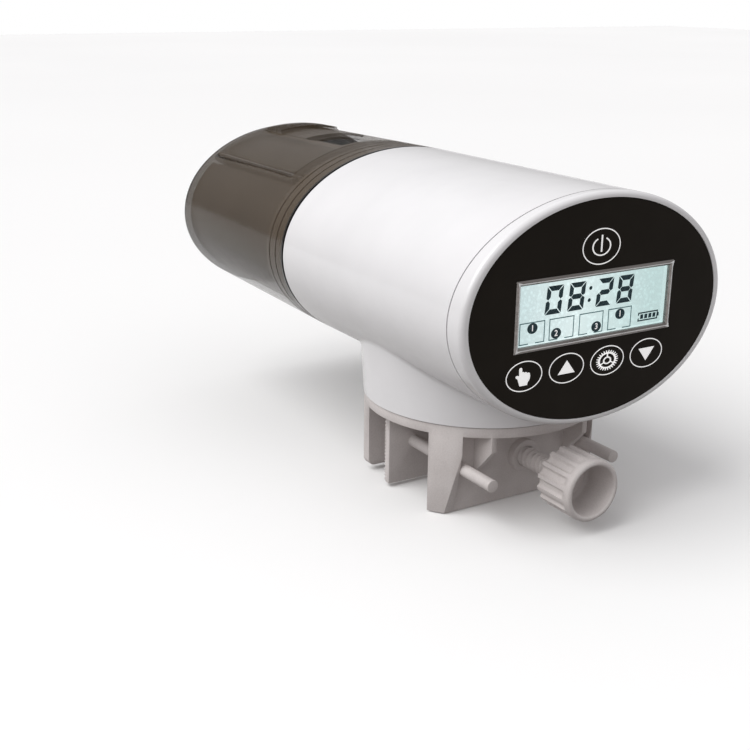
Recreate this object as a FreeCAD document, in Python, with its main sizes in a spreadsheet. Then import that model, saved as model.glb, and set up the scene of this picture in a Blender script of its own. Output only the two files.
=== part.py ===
import FreeCAD, Part
import Sketcher
import math
import os
import re

# Automatic fish feeder: an oval housing with a display, a food drum that turns on its
# spindle, and a clamp that grips the wall of a tank.
# Frame: the origin is on the swivel axis, at the face that rests on the tank's rim.
# -Y is the display end, +Y is the drum end, +Z is up. Millimetres.

doc = FreeCAD.newDocument("fish_feeder")

sizes = {
    # oval housing
    "half_width": 42.5,
    "half_height": 30.0,
    "axis_height": 38.2,
    "wall": 2.2,
    "seam_y": -45.8,
    "seam_radius": 385.0,
    "seam_gap": 0.45,
    "joint_y": 42.0,
    "foot_low_radius": 33.9,
    "foot_high_radius": 35.4,
    "foot_bottom": 3.0,
    "foot_top": 26.0,
    "floor_thick": 2.4,
    "crease_fillet": 2.0,
    # front end
    "bezel_front": -49.3,
    "bezel_round": 1.5,
    "panel_front": -49.1,
    "panel_thick": 1.8,
    "panel_half_width": 40.1,
    "panel_half_height": 28.3,
    "ledge_width": 3.0,
    "spigot_thick": 1.4,
    "spigot_end": -41.0,
    "fit_gap": 0.15,
    "display_x": -0.8,
    "display_rise": 1.2,
    "display_width": 51.0,
    "display_height": 18.2,
    "display_rim": 1.3,
    "key_row_x": -2.6,
    "key_row_drop": 13.9,
    "key_step": 13.4,
    "power_x": -0.4,
    "power_rise": 16.3,
    "post_x": 34.6,
    "board_y": -42.4,
    "board_thick": 1.6,
    # rear bulkhead
    "bulkhead_y": 39.8,
    "bulkhead_thick": 2.0,
    "boss_x": 24.0,
    "boss_rise": 19.4,
    "boss_radius": 3.4,
    "low_boss_x": 12.0,
    "low_boss_drop": 23.4,
    # gear train
    "gear_module": 0.6,
    "gear_teeth": 36,
    "pinion_teeth": 10,
    "gear_thick": 3.0,
    "layer_step": 3.8,
    "case_front": 24.0,
    "case_wall": 1.4,
    "case_rear": 37.9,
    "spindle_radius": 3.0,
    "arbor_radius": 0.8,
    "running_gap": 0.05,
    # batteries
    "cell_radius": 7.25,
    "cell_length": 50.5,
    "cell_x": 23.5,
    "cell_rise": 7.6,
    "cell_front": -14.4,
    # drum
    "drum_front": 43.0,
    "drum_end": 122.1,
    "drum_taper": 0.962,
    "drum_wall": 1.8,
    "collar_line_a": 47.2,
    "collar_line_b": 51.2,
    "line_width": 0.5,
    "line_depth": 0.35,
    "door_front": 60.0,
    "door_rear": 118.0,
    "door_rise": 20.7,
    "door_gap": 0.4,
    "hinge_x": -27.4,
    "hinge_rise": 20.0,
    "bead_radius": 1.4,
    "groove_radius": 2.8,
    "trough_radius": 3.7,
    "trough_depth": 1.0,
    "pin_radius": 0.7,
    "end_round": 1.0,
    "track_half": 11.6,
    "track_depth": 0.95,
    "window_half": 8.5,
    "window_front": 66.0,
    "window_rear": 84.0,
    "shutter_front": 86.5,
    "shutter_step": 104.0,
    "shutter_rear": 116.5,
    "grip_proud": 0.35,
    "ridge_proud": 1.05,
    "ridge_step": 1.6,
    "ridge_width": 0.8,
    # clamp
    "clamp_radius": 33.5,
    "disc_thick": 2.7,
    "clamp_depth": 23.0,
    "plate_front": -21.2,
    "plate_thick": 2.2,
    "pillar_x": 22.8,
    "pillar_rear": -17.0,
    "slant_front": -24.8,
    "rib_edge": 4.4,
    "front_rib_x": 15.8,
    "front_rib_reach": -29.3,
    "front_rib_foot": 13.2,
    "front_rib_thick": 1.6,
    "rear_rib_x": 14.0,
    "rear_rib_reach": 28.5,
    "rear_rib_foot": 17.0,
    "rear_rib_thick": 2.0,
    "nut_boss_radius": 4.7,
    "screw_drop": 10.4,
    "screw_radius": 2.9,
    "rod_x": 21.0,
    "rod_radius": 1.75,
    "rod_tip": -36.3,
    "jaw_front": 2.2,
    "jaw_thick": 2.0,
    "jaw_half": 29.4,
    "jaw_bottom": 22.3,
    "tooth_pitch": 1.1,
    "tooth_height": 0.8,
    "fixed_jaw_y": 15.2,
    "fixed_jaw_thick": 3.0,
    "fixed_jaw_half": 28.4,
    "fixed_jaw_bottom": 21.5,
    "knob_radius": 8.7,
    "knob_back": -39.0,
    "knob_front": -52.2,
    "knob_hollow": 7.2,
    "knob_floor": 2.6,
    "knob_hub_radius": 4.2,
    "knob_hub_length": 4.6,
    "flute_radius": 0.95,
    "hub_radius": 7.0,
    "hub_top": 5.9,
}

sheet = doc.addObject("Spreadsheet::Sheet", "Sizes")
for row, (alias, value) in enumerate(sizes.items(), start=1):
    sheet.set("A%d" % row, alias)
    sheet.set("B%d" % row, str(value))
    sheet.setAlias("B%d" % row, alias)
doc.recompute()


nodes = []
FRONT, TOP = "y", "z"
turns = {
    TOP: FreeCAD.Rotation(),
    FRONT: FreeCAD.Rotation(FreeCAD.Vector(1, 0, 0), -90),
}


def cells(text):
    """Expression text with each alias pointed at the spreadsheet."""
    def name(word):
        return "Sizes." + word.group() if word.group() in sizes else word.group()
    return re.sub(r"[a-z_]+", name, str(text))


def value(alias):
    return float(sheet.get(alias))


def bind(item, **properties):
    for prop, text in properties.items():
        item.setExpression(prop, cells(text))


def put(item, x, y, z, along=TOP):
    item.Placement = FreeCAD.Placement(FreeCAD.Vector(), turns[along])
    for axis, text in zip("xyz", (x, y, z)):
        item.setExpression(".Placement.Base." + axis, cells(text))
    return item


def add(kind, name):
    return doc.addObject("Part::" + kind, name)


def box(name, x, y, z, length, width, height):
    item = add("Box", name)
    bind(item, Length=length, Width=width, Height=height)
    return put(item, x, y, z)


def rod(name, radius, length, x, y, z, along=FRONT):
    item = add("Cylinder", name)
    bind(item, Radius=radius, Height=length)
    return put(item, x, y, z, along)


def oval(name, half_width, half_height, y):
    item = add("Ellipse", name)
    bind(item, MajorRadius=half_width, MinorRadius=half_height)
    return put(item, 0, y, "axis_height", FRONT)


def oval_bar(name, half_width, half_height, y, length):
    item = add("Extrusion", name)
    item.Base = oval(name + "_outline", half_width, half_height, y)
    item.DirMode = "Custom"
    item.Dir = FreeCAD.Vector(0, 1, 0)
    item.Solid = True
    bind(item, LengthFwd=length)
    return item


def tapered_bar(name, inset, y_front, y_rear):
    """Solid of the drum's outline, drawn in by inset, tapering like the drum."""
    item = add("Loft", name)
    rings = []
    for tag, y in (("front", y_front), ("rear", y_rear)):
        shrink = f"(1 - (1 - drum_taper) * ({y} - drum_front) / (drum_end - drum_front))"
        rings.append(oval(f"{name}_{tag}", f"half_width * {shrink} - ({inset})",
                          f"half_height * {shrink} - ({inset})", y))
    item.Sections = rings
    item.Solid = True
    item.Ruled = True
    return item


def join(name, *parts):
    item = add("MultiFuse", name)
    item.Shapes = list(parts)
    return item


def common(name, *parts):
    item = add("MultiCommon", name)
    item.Shapes = list(parts)
    return item


def cut(name, base, *tools):
    item = add("Cut", name)
    item.Base = base
    item.Tool = tools[0] if len(tools) == 1 else join(name + "_tools", *tools)
    return item


def round_edges(name, base, radius, chosen):
    """Fillet of the edges that the chosen test picks."""
    doc.recompute()
    item = add("Fillet", name)
    item.Base = base
    picked = [i for i, edge in enumerate(base.Shape.Edges, start=1) if chosen(edge)]
    item.Edges = [(i, value(radius), value(radius)) for i in picked]
    return item


def shaped(name, shape):
    item = add("Feature", name)
    item.Shape = shape
    return item


def prism(name, points, direction):
    """Solid swept from a closed outline of points."""
    corners = [FreeCAD.Vector(*p) for p in points]
    face = Part.Face(Part.makePolygon(corners + corners[:1]))
    return shaped(name, face.extrude(FreeCAD.Vector(*direction)))


def plate(name, width, height, depth, x, y, z):
    """Flat rectangular piece facing -Y, as a padded sketch; y is its front face."""
    body = doc.addObject("PartDesign::Body", name)
    plane = [f for f in body.Origin.OriginFeatures if f.Role == "XZ_Plane"][0]
    sketch = body.newObject("Sketcher::SketchObject", name + "_outline")
    sketch.AttachmentSupport = [(plane, "")]
    sketch.MapMode = "FlatFace"
    corners = [(-5, -4), (5, -4), (5, 4), (-5, 4)]
    for i, (a, b) in enumerate(corners):
        c, d = corners[(i + 1) % 4]
        sketch.addGeometry(Part.LineSegment(FreeCAD.Vector(a, b, 0), FreeCAD.Vector(c, d, 0)))
    for i in range(4):
        sketch.addConstraint(Sketcher.Constraint("Coincident", i, 2, (i + 1) % 4, 1))
    for i, way in enumerate(("Horizontal", "Vertical", "Horizontal", "Vertical")):
        sketch.addConstraint(Sketcher.Constraint(way, i))
    sketch.addConstraint(Sketcher.Constraint("Symmetric", 0, 1, 1, 2, -1, 1))
    wide = sketch.addConstraint(Sketcher.Constraint("DistanceX", 0, 1, 0, 2, 10))
    tall = sketch.addConstraint(Sketcher.Constraint("DistanceY", 1, 1, 1, 2, 8))
    sketch.setExpression("Constraints[%d]" % wide, cells(width))
    sketch.setExpression("Constraints[%d]" % tall, cells(height))
    pad = body.newObject("PartDesign::Pad", name + "_pad")
    pad.Profile = sketch
    pad.Reversed = True
    bind(pad, Length=depth)
    put(body, x, y, z)
    return body


def keep(item, label):
    """Names a finished sub-part; its label is the name of its file."""
    item.Label = label
    nodes.append(item)
    return item


# ---- clamp: frame with its disc, front plate and fixed jaw

def clamp_frame():
    clearance = "running_gap + 0.01"
    disc = rod("disc", "clamp_radius", "disc_thick", 0, 0, 0, TOP)
    hub = rod("hub", "hub_radius", "hub_top - disc_thick", 0, 0, "disc_thick", TOP)
    front = box("front_plate", "-pillar_x - 2", "plate_front", "-clamp_depth",
                "2 * pillar_x + 4", "plate_thick", "clamp_depth")
    parts = [disc, hub, front]

    # two pillars follow the disc's edge, and a slant trims their feet back to the plate
    near, edge, deep = value("plate_front"), value("clamp_radius"), value("clamp_depth")
    slant_top = -value("rib_edge")
    slant = [(-edge, value("slant_front"), slant_top), (-edge, near, -deep), (-edge, near, -deep - 2),
             (-edge, -edge - 2, -deep - 2), (-edge, -edge - 2, slant_top)]
    drum = rod("pillar_edge", "clamp_radius", "clamp_depth", 0, 0, "-clamp_depth", TOP)
    for side, x in (("left", "-clamp_radius"), ("right", "pillar_x")):
        block = box(f"pillar_block_{side}", x, "-clamp_radius", "-clamp_depth",
                    "clamp_radius - pillar_x", "clamp_radius + pillar_rear", "clamp_depth")
        parts.append(cut(f"pillar_{side}", common(f"pillar_blank_{side}", drum, block),
                         prism(f"foot_slant_{side}", slant, (2 * edge, 0, 0))))

    # ribs stiffen the plate under the disc
    back = value("fixed_jaw_y") + value("fixed_jaw_thick")
    for face, plate_y, root, lip in (("front", near, near + 0.5, slant_top), ("rear", back, back - 0.5, -3.0)):
        reach, foot = value(face + "_rib_reach"), -value(face + "_rib_foot")
        thick = value(face + "_rib_thick")
        for side, way in (("left", -1), ("right", 1)):
            x = way * value(face + "_rib_x") - thick / 2
            parts.append(prism(f"{face}_rib_{side}", [
                (x, root, 0), (x, reach, 0), (x, reach, lip), (x, plate_y, foot), (x, root, foot)],
                (thick, 0, 0)))

    parts.append(rod("nut_boss", "nut_boss_radius", "plate_thick + 2.3", 0, "plate_front - 2.3", "-screw_drop"))
    fixed = box("fixed_jaw_plate", "-fixed_jaw_half", "fixed_jaw_y", "-fixed_jaw_bottom",
                "2 * fixed_jaw_half", "fixed_jaw_thick", "fixed_jaw_bottom")
    low_corner = -value("fixed_jaw_bottom")
    parts.append(round_edges("fixed_jaw", fixed, "crease_fillet", lambda e:
                             abs(e.BoundBox.ZMax - low_corner) < 0.01 and e.BoundBox.YLength > 1))
    solid = join("clamp_blank", *parts)

    tools = [rod("screw_bore", f"screw_radius + {clearance}", 12, 0, -28, "-screw_drop"),
             rod("pivot_pilot", 1.5, "hub_top - 0.9", 0, 0, 0.9, TOP)]
    for side, x in (("left", "-rod_x"), ("right", "rod_x")):
        tools.append(rod(f"rod_bore_{side}", f"rod_radius + {clearance}", 12, x, -28, "-screw_drop"))
    return keep(cut("clamp_cut", solid, *tools), "clamp_frame")


def swivel_pivot():
    washer = cut("washer_cut",
                 rod("washer_disc", 10.5, 1.0, 0, 0, "hub_top", TOP),
                 rod("washer_hole", 1.6, 2.0, 0, 0, "hub_top - 0.5", TOP))
    keep(washer, "swivel_washer")
    head = rod("pivot_head", 3.2, 2.0, 0, 0, "hub_top + 1", TOP)
    shank = rod("pivot_shank", 1.5, "hub_top + 0.2", 0, 0, 0.9, TOP)
    slots = [box("cross_a", -2.0, -0.35, "hub_top + 2", 4.0, 0.7, 2),
             box("cross_b", -0.35, -2.0, "hub_top + 2", 0.7, 4.0, 2)]
    keep(cut("pivot_cut", join("pivot_blank", head, shank), *slots), "swivel_screw")


# ---- clamp: sliding jaw, its screw and knob

def sliding_jaw():
    wide = "2 * jaw_half"
    slab = box("jaw_slab", "-jaw_half", "jaw_front", "-jaw_bottom", wide, "jaw_thick",
               "jaw_bottom - 0.5")
    rear, high = value("jaw_front") + value("jaw_thick"), -1.0
    pitch, proud = value("tooth_pitch"), value("tooth_height")
    count = int((value("jaw_bottom") + high) / pitch)
    outline = [(-value("jaw_half"), rear - 0.5, high)]
    for tooth in range(count):
        top = high - tooth * pitch
        outline += [(-value("jaw_half"), rear, top), (-value("jaw_half"), rear + proud, top - pitch / 2)]
    outline += [(-value("jaw_half"), rear, high - count * pitch),
                (-value("jaw_half"), rear - 0.5, high - count * pitch)]
    teeth = prism("jaw_teeth", outline, (2 * value("jaw_half"), 0, 0))
    boss = rod("jaw_boss", 5.0, 3.0, 0, "jaw_front - 3", "-screw_drop")
    parts = [slab, teeth, boss]
    for side, x in (("left", "-rod_x"), ("right", "rod_x")):
        parts.append(rod(f"guide_rod_{side}", "rod_radius", "jaw_front - rod_tip + 0.5", x,
                         "rod_tip", "-screw_drop"))
    socket = rod("tip_socket", "screw_radius + running_gap + 0.01", 4.1, 0, "jaw_front - 3.1",
                 "-screw_drop")
    keep(cut("jaw_cut", join("jaw_blank", *parts), socket), "sliding_jaw")

    ring = cut("retainer_ring",
               rod("retainer_disc", 4.4, 0.9, 0, "jaw_front - 3.9", "-screw_drop"),
               rod("retainer_hole", 1.6, 2.0, 0, "jaw_front - 4.5", "-screw_drop"),
               box("retainer_slot", -1.6, "jaw_front - 4.5", "-screw_drop - 6", 3.2, 2.0, 6))
    keep(ring, "screw_retainer")


def clamp_screw():
    tip = rod("screw_tip", "screw_radius", 3.7, 0, "jaw_front - 2.9", "-screw_drop")
    neck = rod("screw_neck", 1.5, 1.6, 0, "jaw_front - 4.2", "-screw_drop")
    shaft = rod("screw_shaft", "screw_radius", "jaw_front - 4.1 - knob_back + 4", 0,
                "knob_back - 4", "-screw_drop")
    keep(join("screw_solid", tip, neck, shaft), "clamp_screw")


def clamp_knob():
    length = "knob_back - knob_front"
    drum = rod("knob_drum", "knob_radius", length, 0, "knob_front", "-screw_drop")
    hollow = rod("knob_cup", "knob_hollow", f"{length} - knob_floor", 0, "knob_front", "-screw_drop")
    cup = cut("knob_shell", drum, hollow)
    hub = rod("knob_hub", "knob_hub_radius", "knob_hub_length", 0, "knob_back - knob_hub_length",
              "-screw_drop")
    flutes, count = [], 20
    for i in range(count):
        turn = 360.0 * i / count
        flute = add("Cylinder", f"flute_{i}")
        bind(flute, Radius="flute_radius", Height=f"{length} - 1.6")
        flute.Placement = FreeCAD.Placement(FreeCAD.Vector(), turns[FRONT])
        flute.setExpression(".Placement.Base.x", cells(f"(knob_radius + 0.35) * sin({turn})"))
        flute.setExpression(".Placement.Base.y", cells("knob_front + 1.6"))
        flute.setExpression(".Placement.Base.z", cells(f"(knob_radius + 0.35) * cos({turn}) - screw_drop"))
        flutes.append(flute)
    bore = rod("knob_bore", "screw_radius", 4.0, 0, "knob_back - 4", "-screw_drop")
    keep(cut("knob_cut", join("knob_blank", cup, hub), bore, *flutes), "clamp_knob")


# ---- housing

def body_shell():
    outer = oval_bar("shell_outer", "half_width", "half_height", "seam_y", "joint_y - seam_y")
    foot = add("Cone", "foot")
    bind(foot, Radius1="foot_low_radius", Radius2="foot_high_radius", Height="foot_top - foot_bottom")
    put(foot, 0, 0, "foot_bottom")
    blank = join("shell_blank", outer, foot)

    def crease(edge):
        low = edge.BoundBox.ZMin > value("foot_bottom") + 3
        inside = max(abs(edge.BoundBox.YMin), abs(edge.BoundBox.YMax)) < value("foot_high_radius") + 1
        return low and inside and edge.BoundBox.ZLength > 2 and edge.BoundBox.YLength > 10
    soft = round_edges("shell_soft", blank, "crease_fillet", crease)
    room = oval_bar("shell_room", "half_width - wall", "half_height - wall", "seam_y - 1",
                    "joint_y - seam_y + 2")
    well = rod("foot_well", "foot_low_radius - wall", "foot_top - foot_bottom - floor_thick", 0, 0,
               "foot_bottom + floor_thick", TOP)
    bore = rod("swivel_bore", "hub_radius + running_gap + 0.01", 6, 0, 0, 0, TOP)
    latch = box("latch_slot", -33.4, 38.0, 12.0, 6.0, 1.1, 9.5)
    hollow = cut("shell_hollow", soft, room, well, bore, latch)
    bosses = []
    for i, (x, z) in enumerate(corner_places()):
        bosses.append(rod(f"shell_boss_{i}", "boss_radius", "bulkhead_y - 22", x, 22, z))
    seam = rod("seam_edge", "seam_radius", 90, 0, "seam_y + seam_radius", -1, TOP)
    whole = common("shell_trimmed", join("shell_bossed", hollow, *bosses), seam)
    pilots = [rod(f"shell_pilot_{i}", 0.9, 8, x, "bulkhead_y - 8", z)
              for i, (x, z) in enumerate(corner_places())]
    return keep(cut("shell_cut", whole, *pilots), "body_shell")


def corner_places():
    """Screw posts of the bulkhead; the lower left one clears the gear case."""
    return [("-boss_x", "axis_height + boss_rise"), ("boss_x", "axis_height + boss_rise"),
            ("boss_x", "axis_height - boss_rise"), ("-low_boss_x", "axis_height - low_boss_drop")]


def front_bezel():
    rim = oval_bar("bezel_bar", "half_width", "half_height", "bezel_front", 8)
    front = value("bezel_front")
    soft = round_edges("bezel_soft", rim, "bezel_round", lambda e: abs(e.BoundBox.YMax - front) < 0.01)
    seam = rod("bezel_seam", "seam_radius + seam_gap", 90, 0, "seam_y + seam_radius", -1, TOP)
    face = cut("bezel_face", soft, seam)
    inner = "half_width - wall - fit_gap", "half_height - wall - fit_gap"
    spigot = oval_bar("spigot_bar", *inner, "seam_y - 1", "spigot_end - seam_y + 1")
    posts = [rod(f"board_post_{i}", 3.0, "board_y + 46.5", x, -46.5, "axis_height")
             for i, x in enumerate(("-post_x - 1.4", "post_x + 1.4"))]
    hollow = oval_bar("spigot_room", f"{inner[0]} - spigot_thick", f"{inner[1]} - spigot_thick",
                      -45.9, 6)
    sleeve = cut("spigot", spigot, hollow)
    pocket = oval_bar("panel_pocket", "panel_half_width + 0.1", "panel_half_height + 0.1", -50,
                      "50 + panel_front + panel_thick")
    opening = oval_bar("bezel_opening", "panel_half_width - ledge_width",
                       "panel_half_height - ledge_width", -50, 12)
    ring = cut("bezel_ring", join("bezel_blank", face, sleeve), pocket, opening)
    pilots = [rod(f"post_pilot_{i}", 0.9, 3, x, -45.2, "axis_height")
              for i, x in enumerate(("-post_x", "post_x"))]
    return keep(cut("bezel_cut", join("bezel_posts", ring, *posts), *pilots), "front_bezel")


def display_stack():
    middle = "display_x", "axis_height + display_rise"
    panel = oval_bar("panel_bar", "panel_half_width", "panel_half_height", "panel_front", "panel_thick")
    window = plate("panel_window", "display_width + 0.2", "display_height + 0.2", 6, middle[0], -52,
                   middle[1])
    keep(cut("panel_cut", panel, window), "touch_panel")

    frame = plate("frame_block", "display_width", "display_height", "panel_thick + 0.4", middle[0],
                  "panel_front - 0.4", middle[1])
    sight = plate("frame_sight", "display_width - 2 * display_rim",
                  "display_height - 2 * display_rim", 6, middle[0], -52, middle[1])
    keep(cut("frame_cut", frame, sight), "display_frame")

    depth, margin = 0.2, "2 * display_rim - 0.1"
    for label, thick in (("display_lens", 0.6), ("display_glass", 1.2), ("backlight", 0.9)):
        keep(plate(label + "_plate", f"display_width - {margin}", f"display_height - {margin}",
                   thick, middle[0], f"panel_front + {depth}", middle[1]), label)
        depth = round(depth + thick, 2)


def main_board():
    board = oval_bar("board_bar", "half_width - wall - 3", "half_height - wall - 3", "board_y",
                     "board_thick")
    holes = [rod(f"board_hole_{i}", 1.1, 4, x, "board_y - 1", "axis_height")
             for i, x in enumerate(("-post_x", "post_x"))]
    keep(cut("board_cut", board, *holes), "main_board")
    back = "board_y + board_thick"
    screws = []
    for i, x in enumerate(("-post_x", "post_x")):
        screws += [rod(f"board_shank_{i}", 0.9, "board_thick + 2.4", x, "board_y - 2.4", "axis_height"),
                   rod(f"board_head_{i}", 2.0, 1.4, x, back, "axis_height")]
    keep(join("board_screw_pair", *screws), "board_screws")
    keep(plate("chip_block", 9, 9, 1.6, -10, back, "axis_height + 6"), "control_chip")
    keep(rod("buzzer_can", 5.0, 4.2, 14, back, "axis_height - 10"), "buzzer")
    pads = [(f"key_row_x + key_step * ({i} - 1.5)", "axis_height - key_row_drop") for i in range(4)]
    pads.append(("power_x", "axis_height + power_rise"))
    coils = []
    for i, (x, z) in enumerate(pads):
        coils.append(cut(f"spring_{i}", rod(f"spring_out_{i}", 2.4, 4.8, x, -47.25, z),
                         rod(f"spring_in_{i}", 1.9, 5.2, x, -47.4, z)))
    springs = add("Compound", "spring_group")
    springs.Links = coils
    keep(springs, "touch_springs")


def rear_bulkhead():
    inner = "half_width - wall - fit_gap", "half_height - wall - fit_gap"
    wall_plate = oval_bar("bulkhead_bar", *inner, "bulkhead_y", "bulkhead_thick")
    hatch = plate("hatch", 16.8, 31.6, 6, "cell_x", 38, "axis_height")
    eye = rod("bush_eye", 5.0, 6, 0, 38, "axis_height")
    holes = []
    for i, (x, z) in enumerate(corner_places()):
        holes += [rod(f"bulk_hole_{i}", 1.2, 6, x, 38, z),
                  rod(f"bulk_sink_{i}", 2.5, 3, x, "bulkhead_y + 0.8", z)]
    keep(cut("bulkhead_cut", wall_plate, hatch, eye, *holes), "rear_bulkhead")

    screws = []
    for i, (x, z) in enumerate(corner_places()):
        screws += [rod(f"bulk_shank_{i}", 0.9, 7.8, x, "bulkhead_y - 7", z),
                   rod(f"bulk_head_{i}", 2.3, 1.1, x, "bulkhead_y + 0.8", z)]
    keep(join("bulk_screw_set", *screws), "bulkhead_screws")

    door = plate("door_slab", 16.6, 31.4, "bulkhead_thick", "cell_x", "bulkhead_y", "axis_height")
    grip = box("door_grip", "cell_x - 4", "bulkhead_y + bulkhead_thick - 0.7", "axis_height + 11",
               8, 2, 2.5)
    keep(cut("battery_door_cut", door, grip), "battery_door")

    bush = join("bush_blank", rod("bush_barrel", 5.0, "bulkhead_thick", 0, "bulkhead_y", "axis_height"),
                rod("bush_flange", 6.5, 0.5, 0, "bulkhead_y + bulkhead_thick", "axis_height"))
    keep(cut("bush_cut", bush, rod("bush_bore", "spindle_radius + running_gap", 6, 0, 38,
                                   "axis_height")), "spindle_bush")


def batteries():
    case = box("cell_case", "cell_x - 8.4", -19, "axis_height - 16", 16.8, "bulkhead_y + 18.8", 32)
    space = box("cell_space", "cell_x - 7.4", -18, "axis_height - 15", 14.8, 60, 30)
    keep(cut("cell_case_cut", case, space), "battery_box")
    cans, springs, tabs = [], [], []
    for i, side in enumerate((-1, 1)):
        z = f"axis_height + {side} * cell_rise"
        cans += [rod(f"cell_can_{i}", "cell_radius", "cell_length - 1", "cell_x", "cell_front", z),
                 rod(f"cell_cap_{i}", 2.7, 1.0, "cell_x", "cell_front + cell_length - 1", z)]
        springs.append(rod(f"contact_spring_{i}", 3.0, 3.5, "cell_x", "cell_front - 3.6", z))
        tabs.append(plate(f"contact_tab_{i}", 9, 9, 0.6, "cell_x", "cell_front + cell_length + 0.1", z))
    keep(join("cell_pair", *cans), "battery_cells")
    keep(join("contact_set", *springs, *tabs), "battery_contacts")


# ---- gear train: pinion and wheels turn the spindle slowly

def train_places():
    """Axes of the train, spindle first, as x and height above the spindle."""
    step = value("gear_module") * (value("gear_teeth") + value("pinion_teeth")) / 2
    places = [(0.0, 0.0)]
    for turn in (150, 200, 270):
        x, z = places[-1]
        places.append((x + step * math.cos(math.radians(turn)), z + step * math.sin(math.radians(turn))))
    return places


def layer(level):
    """Front face of a gear layer; layer 0 carries the motor's pinion."""
    return value("case_front") + value("case_wall") + 0.6 + level * value("layer_step")


def gear(name, teeth, place, level, phase, bore, neck=0.0):
    """Spur gear about +Y with slightly thinned involute teeth; a neck reaches down a layer."""
    module, thick = value("gear_module"), value("gear_thick") + neck
    pitch_r = module * teeth / 2
    base_r = pitch_r * math.cos(math.radians(20))
    root_r, tip_r = pitch_r - 1.25 * module, pitch_r + 0.85 * module
    half_pitch_angle = math.pi / teeth * 0.43

    def flank(radius):
        roll = math.acos(min(1.0, base_r / radius))
        pitch_roll = math.acos(base_r / pitch_r)
        return half_pitch_angle + (math.tan(pitch_roll) - pitch_roll) - (math.tan(roll) - roll)
    radii = [max(root_r, base_r) + (tip_r - max(root_r, base_r)) * k / 3 for k in range(4)]
    points = []
    for tooth in range(teeth):
        centre = 2 * math.pi * tooth / teeth + phase
        side = [(root_r, flank(radii[0]) * 1.05)] + [(r, flank(r)) for r in radii]
        for r, a in side:
            points.append((r, centre - a))
        for r, a in reversed(side):
            points.append((r, centre + a))
    x0, z0 = place
    z0 += value("axis_height")
    y0 = layer(level) - neck
    outline = [(x0 + r * math.cos(a), y0, z0 + r * math.sin(a)) for r, a in points]
    solid = prism(name + "_teeth", outline, (0, thick, 0))
    return cut(name, solid, rod(name + "_bore", bore, thick + 2, x0, y0 - 1, z0))


def mesh_phase(place, other, teeth, other_teeth, other_phase):
    """Phase that puts a tooth gap opposite the other gear's tooth."""
    toward = math.atan2(other[1] - place[1], other[0] - place[0])
    back = toward + math.pi
    ahead = (back - other_phase) * other_teeth / teeth
    return toward + ahead + math.pi / teeth


def gear_train():
    spindle, second, first, motor = train_places()
    big, small = int(value("gear_teeth")), int(value("pinion_teeth"))
    free_bore = "arbor_radius + running_gap"
    neck = value("layer_step") - value("gear_thick")

    keep(gear("output_gear_solid", big, spindle, 2, 0.0, "spindle_radius"), "output_gear")
    second_small = mesh_phase(second, spindle, small, big, 0.0)
    wheels = [gear("second_wheel", big, second, 1, 0.0, free_bore),
              gear("second_pinion", small, second, 2, second_small, free_bore, neck)]
    keep(join("second_gear_solid", *wheels), "second_gear")
    first_small = mesh_phase(first, second, small, big, 0.0)
    wheels = [gear("first_wheel", big, first, 0, 0.0, free_bore),
              gear("first_pinion", small, first, 1, first_small, free_bore, neck)]
    keep(join("first_gear_solid", *wheels), "first_gear")
    pinion_phase = mesh_phase(motor, first, small, big, 0.0)
    keep(gear("motor_pinion_solid", small, motor, 0, pinion_phase, 0.75), "motor_pinion")

    rise = "axis_height"
    pins = []
    for label, (x, z) in (("second", second), ("first", first)):
        pins.append(rod(label + "_arbor", "arbor_radius", "case_rear - case_front + 1", x,
                        "case_front + 0.2", f"{rise} + {z}"))
    keep(join("arbor_pair", *pins), "gear_arbors")


def gear_case():
    places = train_places()
    wheel_r = value("gear_module") * value("gear_teeth") / 2 + 1.0
    radii = [wheel_r, wheel_r, wheel_r, 4.2]
    rise = "axis_height"

    def outline(name, grow, y, length):
        return join(name, *[rod(f"{name}_{i}", r + grow, length, x, y, f"{rise} + {z}")
                            for i, ((x, z), r) in enumerate(zip(places, radii))])
    second, first, motor = places[1:]
    gap = "running_gap"
    tray = cut("tray_cut",
               outline("tray_outer", 1.3, "case_front", "case_rear - case_front"),
               outline("tray_inner", 0.0, "case_front + case_wall", 30),
               rod("tray_bearing", f"2 + {gap}", 4, 0, "case_front - 1", rise),
               rod("tray_motor_hole", 2.1, 4, motor[0], "case_front - 1", f"{rise} + {motor[1]}"),
               *[rod(f"tray_arbor_{i}", "arbor_radius", 4, x, "case_front + 0.2", f"{rise} + {z}")
                 for i, (x, z) in enumerate((second, first))])
    keep(tray, "gear_case")
    cover = cut("case_cover_cut",
                outline("cover_outer", 1.3, "case_rear", "case_wall"),
                rod("cover_spindle", f"spindle_radius + {gap}", 4, 0, "case_rear - 1", rise),
                *[rod(f"cover_arbor_{i}", "arbor_radius", 2, x, "case_rear - 0.8", f"{rise} + {z}")
                  for i, (x, z) in enumerate((second, first))])
    keep(cover, "gear_case_cover")

    x, z = motor
    can = common("motor_blank", rod("motor_round", 6.0, 15, x, "case_front - 15", f"{rise} + {z}"),
                 box("motor_flats", x - 6, "case_front - 15", f"{rise} + {z} - 5", 12, 15, 10))
    nose = rod("motor_nose", 2.0, 1.0, x, "case_front", f"{rise} + {z}")
    hole = rod("motor_nose_hole", 0.8, 3, x, "case_front - 1", f"{rise} + {z}")
    keep(cut("motor_can", join("motor_body", can, nose), hole), "motor")
    keep(rod("motor_shaft_rod", 0.75, 6.8, x, "case_front - 1", f"{rise} + {z}"), "motor_shaft")


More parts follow.
